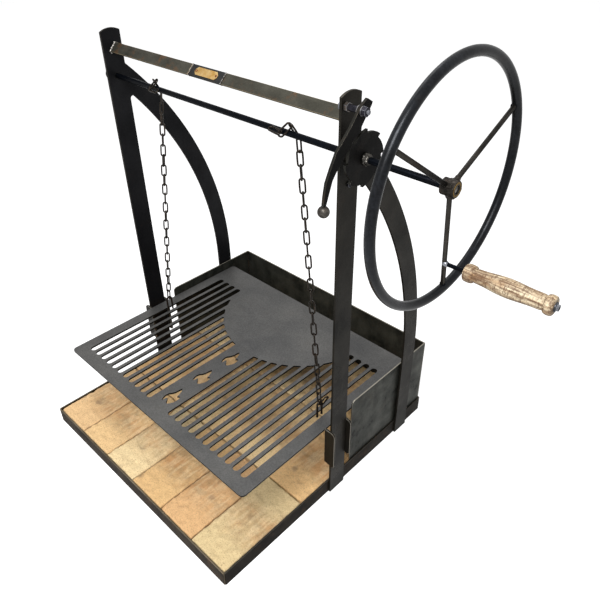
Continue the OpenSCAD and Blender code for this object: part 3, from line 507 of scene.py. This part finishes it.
def turned_wood_finish():
    """Weathered wood: rings, open fibres along the grip and dark scuffs"""
    heart = (-0.66, -0.0144, -0.7281)
    finish, tree, shader, place = new_finish("turned_wood", 0, 0.6, 0.3)
    along = plug(tree, "Mapping", {"Vector": place, "Location": heart}).outputs[0]
    ring = plug(tree, "TexWave", {"Vector": along, "Scale": 30.0, "Distortion": 7.0, "Detail": 4.0,
                                  "Detail Scale": 1.6}, wave_type="BANDS", bands_direction="Z").outputs["Fac"]
    fibre = grain(tree, along, scale=300, detail=5, stretch=(0.06, 1, 1), rough=0.65)
    scuff = grain(tree, along, scale=300, detail=5, stretch=(1, 0.3, 0.3), rough=0.75)
    cloud = grain(tree, along, scale=42, detail=5, stretch=(0.6, 1, 1))
    base = shades(tree, cloud, (0.34, paint("866a4d")), (0.56, paint("dccbac")))
    base = blend(tree, shades(tree, ring, (0.1, 0.3), (0.45, 0.0)), base, paint("b48a5e"))
    base = blend(tree, shades(tree, fibre, (0.4, 0.9), (0.56, 0.0)), base, paint("5c412d"))
    base = blend(tree, shades(tree, scuff, (0.49, 0.0), (0.6, 0.85)), base, paint("5f4632"))
    tree.links.new(base, shader.inputs["Base Color"])
    relief(tree, shader, reckon(tree, "ADD", fibre, reckon(tree, "MULTIPLY", scuff, 0.5)), 0.5, 0.0003)
    return finish


firebrick = firebrick_finish()
turned_wood = turned_wood_finish()


# Firebricks: rounded arrises, chipped and hollowed faces, and each one's own tone

brick_face = bpy.data.textures.new("brick_face", "CLOUDS")
brick_face.noise_scale = 0.05
brick_chips = bpy.data.textures.new("brick_chips", "CLOUDS")
brick_chips.noise_scale = 0.016
brick_chips.noise_depth = 3
brick_chips.intensity = 1.45
brick_chips.contrast = 2.6


def note(piece, name, values):
    """Keeps one number a point for the finish to read"""
    piece.data.attributes.new(name, "FLOAT", "POINT").data.foreach_set("value", values)


def lay_brick(name, low, high, tone):
    """One brick between two corners, its arrises rounded and its faces worn in"""
    dust_reach = 3.6 * MM
    brick = start(bpy.ops.mesh.primitive_cube_add, name, size=1, location=(low + high) / 2)
    brick.dimensions = high - low
    settle(brick)
    pick(brick, "edges", lambda a, b: True)
    bpy.ops.mesh.bevel(offset=1.6 * MM, segments=2, affect="EDGES")
    close()
    machine(brick, "REMESH", mode="VOXEL", voxel_size=0.0032)
    for wear, strength in ((brick_face, 1.2 * MM), (brick_chips, 2.6 * MM)):
        machine(brick, "DISPLACE", texture=wear, texture_coords="GLOBAL", strength=strength, mid_level=1.0)
    points = brick.data.vertices
    note(brick, "brick_tone", [tone] * len(points))
    sides = [min(p.co.x - low.x, high.x - p.co.x, p.co.y - low.y, high.y - p.co.y) for p in points]
    note(brick, "joint_dust", [max(0, 1 - side / dust_reach) for side in sides])
    return smooth(brick, 50)


def brick_row(node, tones):
    """A row of bricks, one to a tone, with narrow joints"""
    low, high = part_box(node)
    gap = 0.3 * MM
    step = (high.x - low.x + gap) / len(tones)
    row = []
    for i, tone in enumerate(tones):
        a = Vector((low.x + i * step, low.y, low.z))
        b = Vector((low.x + (i + 1) * step - gap, high.y, high.z))
        row.append(lay_brick(node + str(i), a, b, tone))
    return fit(weld_up(row, node + "_firebricks"), "frame", firebrick, node)


brick_row("brick_row_front", (0.0, 0.2, 0.4, 0.6, 0.8, 1.0))
brick_row("brick_row_middle", (0.7, 0.1, 0.5, 0.9, 0.3, 0.62))
brick_row("brick_row_rear", (0.45, 0.85, 0.15, 0.35, 0.95, 0.55))


# Tray rails: mitred angle steel with the corners ground round

def ground_corner(piece, corner, radius):
    """Cuts an upright corner back to a rounded one, one flat of the grinder at a time"""
    inward = Vector((-math.copysign(1, corner.x), -math.copysign(1, corner.y), 0))
    centre = corner + inward * radius
    for angle in (18, 36, 54, 72):
        turn = math.radians(angle)
        out = Vector((-inward.x * math.cos(turn), -inward.y * math.sin(turn), 0))
        pick(piece, "points", lambda co: True)
        bpy.ops.mesh.bisect(plane_co=centre + out * radius, plane_no=out, use_fill=True, clear_outer=True)
        close()


tray_low, tray_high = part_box("rail_front")
tray_half = Vector((tray_high.x, -tray_low.y, 0))
for node in ("rail_front", "rail_rear", "rail_left", "rail_right"):
    rail = cast(node)
    low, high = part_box(node)
    for x in (-tray_half.x, tray_half.x):
        for y in (-tray_half.y, tray_half.y):
            if low.x - MM < x < high.x + MM and low.y - MM < y < high.y + MM:
                ground_corner(rail, Vector((x, y, 0)), 5 * MM)
    # The right and rear rails, under the firebox walls, take the darker copy of the rail steel: painted shade
    fire_side = node in ("rail_right", "rail_rear")
    coat(rail, *((shaded_rail_steel, post_edge) if fire_side else (rail_steel, rail_edge)))
    for face in rail.data.polygons:
        face.material_index = 1 if face.normal.z > 0.9 and face.center.z > high.z - MM else 0
    break_arrises(rail, 0.8 * MM, 40)
    fit(rail, "frame", None, node)


# Flat steel: posts, sheets, grate, ears, crossbar, ratchet and lever

def on_rim(c, n):
    """The cut faces round a plate that stands square to the shaft"""
    return abs(n.x) < 0.5


# The left post takes the darker copy of the post steel, painted shade; the right one takes post_steel
for node, finish in (("side_frame_left", shaded_post_steel), ("side_frame_right", post_steel)):
    eased(node, "frame", 0.7 * MM, finish, post_edge, bare=lambda c, n: n.z > 0.8 and c.z > 0.9)
for node in ("ear_front_left", "ear_front_right", "ear_rear_left", "ear_rear_right"):
    eased(node, "grate", 0.5 * MM, post_steel, ear_edge)
for node in ("firebox_left_wall", "firebox_right_wall", "firebox_rear_wall"):
    eased(node, "frame", 0.4 * MM, fire_sheet, fire_edge, bare=lambda c, n: n.z > 0.8)
# The slot walls take the near-black grate_wall finish: darker inside the slots
eased("grate_plate", "grate", 0.25 * MM, grate_steel, grate_edge, bare=lambda c, n: abs(n.z) < 0.5,
      bare_finish=grate_wall)
for node in ("crossbar_left", "crossbar_right"):
    eased(node, "frame", 0.8 * MM, bar_steel, bar_edge)
eased("crossbar_splice", "frame", 0.8 * MM, splice_steel, bar_edge)
eased("ratchet_wheel", "winding", 0.5 * MM, ratchet_steel, ratchet_edge, bare=on_rim,
      bare_finish=lever_edge)
eased("pawl_lever", "pawl", 0.5 * MM, lever_steel, post_edge, bare=on_rim, bare_finish=lever_edge)


# The pawl's ball, a little wider than the frame's own, and the bare brass plate with its corners cut off

ball_share = 0.57
ball = start(bpy.ops.mesh.primitive_uv_sphere_add, "cast_ball", segments=40, ring_count=24,
             radius=span("pawl_ball").x * ball_share, location=middle("pawl_ball"))
fit(smooth(settle(ball), 180), "pawl", ball_steel, "pawl_ball")

badge = middle("badge_plate")
plate = start(bpy.ops.mesh.primitive_cube_add, "brass_badge", size=1, location=badge)
plate.dimensions = (68 * MM, 17 * MM, 1.2 * MM)
bpy.ops.object.transform_apply(location=False, rotation=False, scale=True)
pick(plate, "edges", lambda a, b: abs(a.x - b.x) < MM / 10 and abs(a.y - b.y) < MM / 10)
bpy.ops.mesh.bevel(offset=5.5 * MM, segments=1, affect="EDGES")
close()
plate.rotation_euler = (math.radians(45), 0, 0)
settle(plate)
machine(plate, "BEVEL", width=0.25 * MM, segments=2, limit_method="ANGLE", angle_limit=math.radians(60))
fit(smooth(plate), "frame", brass, "badge_plate")


# Fasteners, with the corners of their hexagons broken

for node, body, finish in (("pawl_bolt", "frame", zinc_steel), ("pawl_inner_nut", "frame", nut_steel),
                           ("pawl_spacer", "frame", dark_fastener), ("pawl_washers", "frame", bright_weld),
                           ("pawl_lock_nut", "frame", dark_fastener), ("post_bolt", "frame", dark_fastener),
                           ("post_bolt_nut", "frame", dark_fastener), ("grip_nut", "winding", zinc_steel),
                           ("grip_washer", "winding", dark_fastener)):
    eased(node, body, 0.4 * MM, finish, zinc_steel)


# Welds

def bar_bead(name, node, ends, size):
    """A bead up the front of the leaning crossbar and another up its back, at the ends of one of its pieces"""
    low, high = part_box(node)
    half_width = Vector((0, 1, 1)).normalized() * 12 * MM
    half_thickness = Vector((0, -1, 1)).normalized() * 2.5 * MM
    blobs_up = (-1, -0.72, -0.45, -0.2, 0.08, 0.33, 0.6, 0.85, 1)
    for x in ends(low.x, high.x):
        core = Vector((x, (low.y + high.y) / 2, (low.z + high.z) / 2))
        yield bead(name, [core + half_width * share + half_thickness * side
                          + Vector((chance.uniform(-0.3, 0.3) * size, 0, 0))
                          for side in (1, -1) for share in blobs_up], size, "frame", bright_weld)


end_beads = [*bar_bead("crossbar_end", "crossbar_left", lambda low, high: [low + 1.5 * MM], 2.9 * MM),
             *bar_bead("crossbar_end", "crossbar_right", lambda low, high: [high - 1.5 * MM], 2.9 * MM)]
seam_beads = list(bar_bead("splice_seam", "crossbar_splice", lambda low, high: [low, high], 1.5 * MM))
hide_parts("crossbar_end_welds")
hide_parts("crossbar_seams")
welded("firebox_corner_welds", "frame", 1.2 * MM, 1.2 * MM, weld_metal)
welded("wheel_hub", "winding", 0.8 * MM, 1.2 * MM, hub_metal)

shaft = middle("winding_shaft")
gear_axis = Vector((0, shaft.y, shaft.z))


def round_shaft(x, radius, count, first=0):
    """Spots round the shaft's axis, the first one at an angle"""
    angles = [first + 2 * math.pi * i / count for i in range(count)]
    return [gear_axis + Vector((x, radius * math.cos(a), radius * math.sin(a))) for a in angles]


collar_x = middle("ratchet_weld").x
bead("ratchet_bead",
     round_shaft(collar_x - 0.5 * MM, 8.4 * MM, 11) + round_shaft(collar_x + 4 * MM, 5.8 * MM, 8, first=0.3),
     4.1 * MM, "winding", weld_metal, "ratchet_weld")


# Shaft and hand wheel: bent rim, spokes with their welds, the hub's lip and the crank's turned handle

shaft_low, shaft_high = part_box("winding_shaft")
rod("drawn_shaft", gear_axis + Vector((shaft_low.x, 0, 0)), gear_axis + Vector((shaft_high.x, 0, 0)),
    span("winding_shaft").z / 2, "winding", drawn_steel, "winding_shaft")
wheel = middle("wheel_rim")
rim_bar = span("wheel_rim").x / 2
rim_reach = span("wheel_rim").y / 2 - rim_bar - 0.02 * MM
rim = start(bpy.ops.mesh.primitive_torus_add, "bent_rim", major_segments=128, minor_segments=20,
            major_radius=rim_reach, minor_radius=rim_bar, location=wheel, rotation=(0, math.radians(90), 0))
fit(smooth(settle(rim), 60), "winding", rim_steel, "wheel_rim")

wheel_centre = gear_axis + Vector((wheel.x, 0, 0))
first_spoke = 276.5
spoke_turns = (0, 110.2, 229.6)
root_spots = ((13, -6), (13, -2), (13, 2), (13, 6), (16, -3), (16, 2), (18.5, 0), (21, 0))
for turn in spoke_turns:
    lean = math.radians(first_spoke + turn)
    way = Vector((0, math.cos(lean), math.sin(lean)))
    rod("spoke", wheel_centre + way * 9 * MM, wheel_centre + way * (rim_reach - rim_bar + MM),
                      4 * MM, "winding", spoke_steel)
    bead("spoke_root", [wheel_centre + way * reach * MM + Vector((x * MM, 0, 0)) for reach, x in root_spots],
         4.4 * MM, "winding", hub_metal)
    bead("spoke_tip",
         [wheel_centre + way * (rim_reach - rim_bar) + Vector((x * MM, 0, 0)) for x in (-3, -1, 2)],
         3.6 * MM, "winding", drawn_steel)
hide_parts("wheel_spokes")

hub_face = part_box("wheel_hub")[1].x
hub_reach = span("wheel_hub").y / 2
lip_inset, lip_bar, lip_sunk = 3.4 * MM, 2.2 * MM, 1.4 * MM
lip = start(bpy.ops.mesh.primitive_torus_add, "hub_lip", major_segments=48, minor_segments=12,
            major_radius=hub_reach - lip_inset, minor_radius=lip_bar,
            location=gear_axis + Vector((hub_face - lip_sunk, 0, 0)), rotation=(0, math.radians(90), 0))
machine(settle(lip), "DISPLACE", texture=weld_lumps, texture_coords="LOCAL", strength=0.9 * MM,
        mid_level=0.6)
fit(smooth(lip, 180), "winding", gilt_rust)
shaft_end = start(bpy.ops.mesh.primitive_cylinder_add, "shaft_end", vertices=40, radius=5.7 * MM,
                  depth=2.4 * MM, location=gear_axis + Vector((hub_face - 2.6 * MM, 0, 0)),
                  rotation=(0, math.radians(90), 0))
settle(shaft_end)
pick(shaft_end, "edges", lambda a, b: abs(a.x - b.x) < MM / 10 and a.x > hub_face - 2 * MM)
bpy.ops.mesh.bevel(offset=0.7 * MM, segments=3, affect="EDGES")
close()
fit(smooth(shaft_end), "winding", bright_weld)

crank_low, crank_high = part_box("crank_pin")
root_height = 3.5 * MM
pin_root = Vector((crank_low.x, (crank_low.y + crank_high.y) / 2, crank_low.z + root_height))
bead("crank_root", [pin_root + Vector((x * MM, 0, 0)) for x in (-1, 1.5)], 4.8 * MM, "winding", zinc_steel)

grip_hinge = next(joint for joint in frame["joints"] if joint["name"] == "grip_spin")
grip_line = Vector(grip_hinge["axis"])
grip_middle = Vector(grip_hinge["pos_m"])
reaches = [(point.co - grip_middle).dot(grip_line) for point in nodes["grip"].data.vertices]
near_end = min(reaches)

# Along the grip from its wheel end, and the radius there, in millimetres
handle_stations = [
    (0.0, 13.0), (0.7, 13.9), (2.5, 14.7), (6, 15.1), (10, 15.2), (14, 14.6), (16, 13.6),
    (17, 12.2), (17.8, 11.3), (19.4, 11.2), (20.4, 11.8), (22.5, 12), (27, 12.1), (36, 12.6),
    (44, 13.5), (54, 14.6), (63, 15.3), (72, 15.6), (82, 15.3), (92, 14.6), (102, 13.8),
    (111, 13.3), (120, 13.1), (127, 13), (129.4, 12.7), (130.2, 12.0), (131.6, 12.0), (132.4, 13.0),
    (134, 14.9), (137, 16.0), (140, 16.3), (143, 16.1), (145.4, 15.2), (146.6, 13.8), (147, 12.4),
]
handle = turned("turned_handle", [(reach * MM, radius * MM) for reach, radius in handle_stations], 3.4 * MM)
handle.rotation_euler = grip_line.to_track_quat("Z", "Y").to_euler()
handle.location = grip_middle + grip_line * near_end
fit(smooth(settle(handle), 50), "grip", turned_wood, "grip")


# Chains: one link of bent wire, copied down each run with its own small roll

def forge_link(wire, width, length):
    """A ring of wire pulled out to its length, standing on end with its flat side to the front"""
    ring = start(bpy.ops.mesh.primitive_torus_add, "bent_link", major_segments=20, minor_segments=10,
                 major_radius=(width - wire) / 2, minor_radius=wire / 2)
    pull = (length - width) / 2
    for side in (1, -1):
        pick(ring, "points", lambda co: side * co.y > 0.1 * MM)
        bpy.ops.transform.translate(value=(0, side * pull, 0))
        close()
    ring.rotation_euler = (math.radians(90), 0, 0)
    return smooth(settle(ring), 180)


link = forge_link(wire=3.8 * MM, width=14.6 * MM, length=33.8 * MM)

# The way to the photograph's eye, its turn from the front in degrees, how many links at the foot come round
# square, and how many links hang in each run
to_eye = Vector((0.66, -0.67, 0.33))
eye_turn = 46
square_links = 7
hanging_links = 23


def place_link(upper, lower, facing):
    """Another link, reaching from one joint to the next, its flat side turned to face a way"""
    piece = another(link, "link")
    along = (upper - lower).normalized()
    front = (facing - along * facing.dot(along)).normalized()
    side = front.cross(along)
    turn = Matrix((side, -front, along)).transposed().to_4x4()
    piece.matrix_world = Matrix.Translation((upper + lower) / 2) @ turn
    return piece


def hang_chain(node, top, foot, first_turns, *loose):
    """The hanging run, from behind the shaft down to its lifting eye, and any loose link left at its foot

    The links face the photograph's eye and sideways by turns, with the turns given for the first ones and
    a small roll for the others. The last few come round to stand square to the grate.
    """
    run = foot - top
    links = []
    for i in range(hanging_links):
        low_share = max(0, (i - (hanging_links - square_links)) / (square_links - 1))
        turned_by = first_turns[i] if i < len(first_turns) else chance.uniform(-9, 9)
        seen = math.radians((turned_by - eye_turn) * (1 - low_share) + 90 * (i % 2))
        facing = Vector((-math.sin(seen), math.cos(seen), 0))
        sway = Vector((chance.uniform(-0.3, 0.3) * MM, chance.uniform(-0.3, 0.3) * MM, 0)) * (1 - low_share)
        upper, lower = (top + run * joint / hanging_links + sway for joint in (i, i + 1))
        links.append(place_link(upper, lower, facing))
    links += [place_link(foot + Vector(a) * MM, foot + Vector(b) * MM, facing) for a, b, facing in loose]
    chain = settle(weld_up(links, node + "_links"))
    coat(chain, chain_steel)
    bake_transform(chain)
    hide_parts(node)


def wind_chain(node, *turns):
    """The turns round the shaft, loosely heaped"""
    links = [place_link(Vector(a) * MM, Vector(b) * MM, facing) for a, b, facing in turns]
    fit(settle(weld_up(links, node + "_links")), "winding", chain_steel, node)


hang_chain("chain_right", Vector((223, 12, 860)) * MM, Vector((301, -9, 256.7)) * MM, (45,),
           ((13, 11, 19), (2, 2, -7), Vector((0.9, -0.1, 0.3))))
hang_chain("chain_left", Vector((-200, 12, 860)) * MM, Vector((-293, 4, 256.7)) * MM, (2, 64))
wind_chain("chain_wrap_right", ((223, 10.5, 862), (215.5, -1, 885), Vector((0.1, 0.9, 0.5))),
           ((215.5, -1, 885), (202.6, -16.5, 866), to_eye),
           ((203, -15, 870), (175, -13.5, 872.6), Vector((0, -0.35, 0.94))))
wind_chain("chain_wrap_left", ((-200, 10.5, 862), (-202, -1, 884.5), Vector((0.3, 0.9, 0.5))),
           ((-191.5, -1.5, 885.5), (-205, -11.5, 869.5), Vector((0.45, 0.6, 0.05))),
           ((-205.5, -11.5, 868.5), (-179.5, -11.5, 868), Vector((0, -0.5, 0.85))))
bpy.data.objects.remove(link)


# The rest of the frame's own nodes take a finish of their own

plain = {
    "tray_bearers": rail_steel, "tray_floor": rail_steel, "badge_rivets": copper,
    "shaft_boss_left": post_steel, "shaft_boss_right": post_steel,
    "shaft_collar": post_steel, "crank_pin": drawn_steel,
    "lifting_eye_left": chain_steel, "lifting_eye_right": chain_steel,
}
for node, finish in plain.items():
    coat(nodes[node], finish)


# Studio

floor = start(bpy.ops.mesh.primitive_plane_add, "studio_floor", size=14, location=(0, 0, -0.0004))
floor_paint = bpy.data.materials.new("floor_paint")
floor_paint.use_nodes = True
tree = floor_paint.node_tree
shader = tree.nodes["Principled BSDF"]
shader.inputs["Base Color"].default_value = (0.55, 0.55, 0.55, 1)
shader.inputs["Roughness"].default_value = 0.9
shader.inputs["Specular IOR Level"].default_value = 0.1


def seen_rays(tree):
    """One for rays that go straight to the eye, off a shine or through glass"""
    path = tree.nodes.new("ShaderNodeLightPath")
    shown = reckon(tree, "MAXIMUM", path.outputs["Is Camera Ray"], path.outputs["Is Glossy Ray"])
    return reckon(tree, "MAXIMUM", shown, path.outputs["Is Transmission Ray"])


tree.links.new(seen_rays(tree), shader.inputs["Emission Strength"])
shader.inputs["Emission Color"].default_value = (0.8, 0.8, 0.8, 1)
floor.data.materials.append(floor_paint)

world = bpy.data.worlds.new("studio_sky")
bpy.context.scene.world = world
world.use_nodes = True
tree = world.node_tree
sky = tree.nodes["Background"]
sky.inputs["Color"].default_value = (1, 1, 1, 1)
seen_more, lit_by = 0.65, 0.35
tree.links.new(reckon(tree, "MULTIPLY_ADD", seen_rays(tree), seen_more, lit_by), sky.inputs["Strength"])


def lamp(name, where, aim, size, power):
    """A soft square lamp turned to its aim"""
    light = bpy.data.lights.new(name, "AREA")
    light.size = size
    light.energy = power
    holder = bpy.data.objects.new(name, light)
    bpy.context.scene.collection.objects.link(holder)
    holder.location = where
    holder.rotation_euler = (Vector(aim) - Vector(where)).to_track_quat("-Z", "Y").to_euler()


lamp("sky_panel", (0.8, -1.4, 2.4), (0.05, -0.25, 0.2), 1.1, 78)
lamp("side_panel", (-0.9, 0.6, 2.6), (0, 0, 0.3), 1.2, 12)

# The photograph's camera, solved from its straight edges

view = bpy.data.cameras.new("photo_view")
view.sensor_width = 36
view.lens = 36.18
view.shift_x = -0.00355
view.shift_y = -0.01685
view.clip_start = 0.01
camera = bpy.data.objects.new("photo_view", view)
bpy.context.scene.collection.objects.link(camera)
camera.location = (0.95945, -0.74751, 1.25349)
camera.rotation_euler = [math.radians(a) for a in (55.3716, 0.4178, 43.6065)]
bpy.context.scene.camera = camera
bpy.context.scene.view_settings.view_transform = "Standard"
